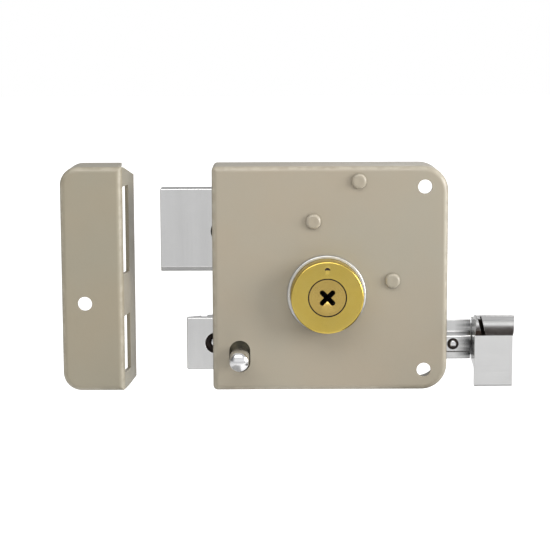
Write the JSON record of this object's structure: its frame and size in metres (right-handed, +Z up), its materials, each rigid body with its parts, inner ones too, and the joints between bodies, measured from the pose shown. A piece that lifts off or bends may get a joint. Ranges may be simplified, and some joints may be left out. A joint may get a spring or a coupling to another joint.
{
  "type": "rim night latch",
  "caption": "Surface-mounted rim night latch: key cylinder driving a deadbolt, sprung latch bolt with a pull, snib, and a separate box keeper.",
  "frame": {"origin": "middle of the lock case on the door's face", "axes": "+X from the bolts towards the pull handle, +Z up, +Y into the door"},
  "size_m": [0.1937, 0.0589, 0.097],
  "materials": {
    "painted_case": "beige stoved paint, light orange peel, satin",
    "painted_keeper": "beige stoved paint, slightly darker, satin",
    "chrome": "chrome over fine brushing",
    "zinc_steel": "zinc plate, dull",
    "spring_steel": "drawn wire and strip",
    "brass": "turned, fine concentric marks"
  },
  "bodies": {
    "case": {"back_plate": "zinc_steel", "bolt_brake_spring": "spring_steel", "bolt_guide_post": "painted_case", "brake_pad": "brass", "brake_post": "painted_case", "case_shell": "painted_case", "cylinder_collar": "zinc_steel", "cylinder_housing": "brass", "cylinder_nut": "zinc_steel", "driver_pin_1": "zinc_steel", "driver_pin_2": "zinc_steel", "driver_pin_3": "zinc_steel", "driver_pin_4": "zinc_steel", "driver_spring_1": "spring_steel", "driver_spring_2": "spring_steel", "driver_spring_3": "spring_steel", "driver_spring_4": "spring_steel", "edge_flange": "zinc_steel", "latch_spring": "spring_steel", "snib_track": "zinc_steel", "spring_bracket": "zinc_steel", "spring_guide_rod": "zinc_steel", "upper_post": "painted_case"},
    "plug": {"cylinder_plug": "brass", "drive_pinion": "zinc_steel", "drive_tang": "zinc_steel", "key_pin_1": "zinc_steel", "key_pin_2": "zinc_steel", "key_pin_3": "zinc_steel", "key_pin_4": "zinc_steel", "plug_clip": "spring_steel"},
    "deadbolt": {"deadbolt_head": "chrome", "deadbolt_rivet": "chrome", "deadbolt_tail": "zinc_steel"},
    "latch": {"bar_rivet_1": "chrome", "bar_rivet_2": "chrome", "latch_head": "chrome", "latch_rivet": "chrome", "latch_strap": "zinc_steel", "pull_bar": "chrome", "pull_handle": "chrome", "pull_rivet_1": "zinc_steel", "pull_rivet_2": "zinc_steel"},
    "snib": {"snib_button": "chrome", "snib_slide": "zinc_steel"},
    "keeper": {"keeper_shell": "painted_keeper"}
  },
  "joints": [
    {"name": "deadbolt_slide", "type": "slide", "parent": "case", "child": "deadbolt", "axis": [1, 0, 0], "range_m": [0, 0.02199]},
    {"name": "plug_turn", "type": "hinge", "parent": "case", "child": "plug", "pos_m": [-0.0015, -0.0355, -0.0065], "axis": [0, 1, 0], "range_deg": [0, 180]},
    {"name": "latch_slide", "type": "slide", "parent": "case", "child": "latch", "axis": [1, 0, 0], "range_m": [0, 0.012], "stiffness_N_per_m": 300, "springref_m": -0.01, "deforming": ["latch_spring"]},
    {"name": "snib_travel", "type": "slide", "parent": "case", "child": "snib", "axis": [0, 0, -1], "range_m": [0, 0.003]},
    {"name": "keeper_shift", "type": "slide", "parent": "case", "child": "keeper", "axis": [1, 0, 0], "range_m": [0, 0.0335]}
  ],
  "couplings": [
    {"joint": "plug_turn", "follows": "deadbolt_slide", "rad_per_m": 142.86}
  ]
}
